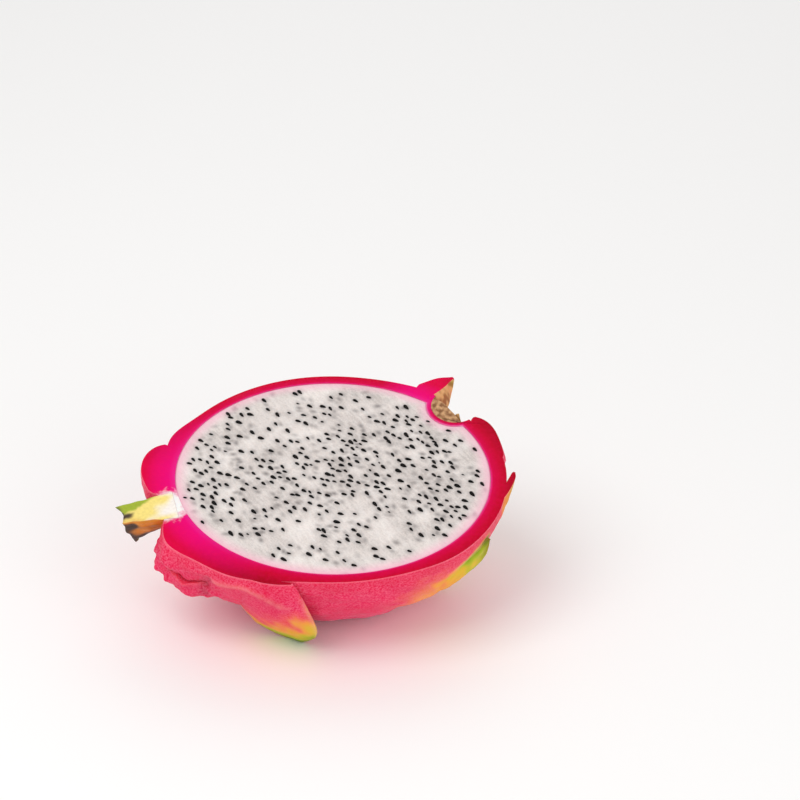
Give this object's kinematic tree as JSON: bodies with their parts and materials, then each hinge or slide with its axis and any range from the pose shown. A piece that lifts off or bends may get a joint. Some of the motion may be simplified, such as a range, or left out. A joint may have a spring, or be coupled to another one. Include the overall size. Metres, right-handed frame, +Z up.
{
  "type": "dragon fruit half",
  "caption": "Lengthwise half of a dragon fruit lying on its scaly skin, with the cut face of seeded white flesh turned up and a stub of stem.",
  "frame": {"origin": "bottom centre of the bounding box, on the table under the half fruit", "axes": "+X from the stem end towards the flower end along the longest extent, +Z up, the cut face leaning towards -Y"},
  "size_m": [0.1186, 0.0902, 0.0534],
  "materials": {
    "peel": "waxy coral pink skin with a wet crimson cut edge",
    "flesh": "moist translucent white flesh with black seeds",
    "stalk": "green cactus stem, cream where it is cut",
    "flower_scar": "dry tan fibres"
  },
  "bodies": {
    "root": {"peel": "peel", "flesh": "flesh", "stalk": "stalk", "flower_scar": "flower_scar"}
  },
  "joints": []
}
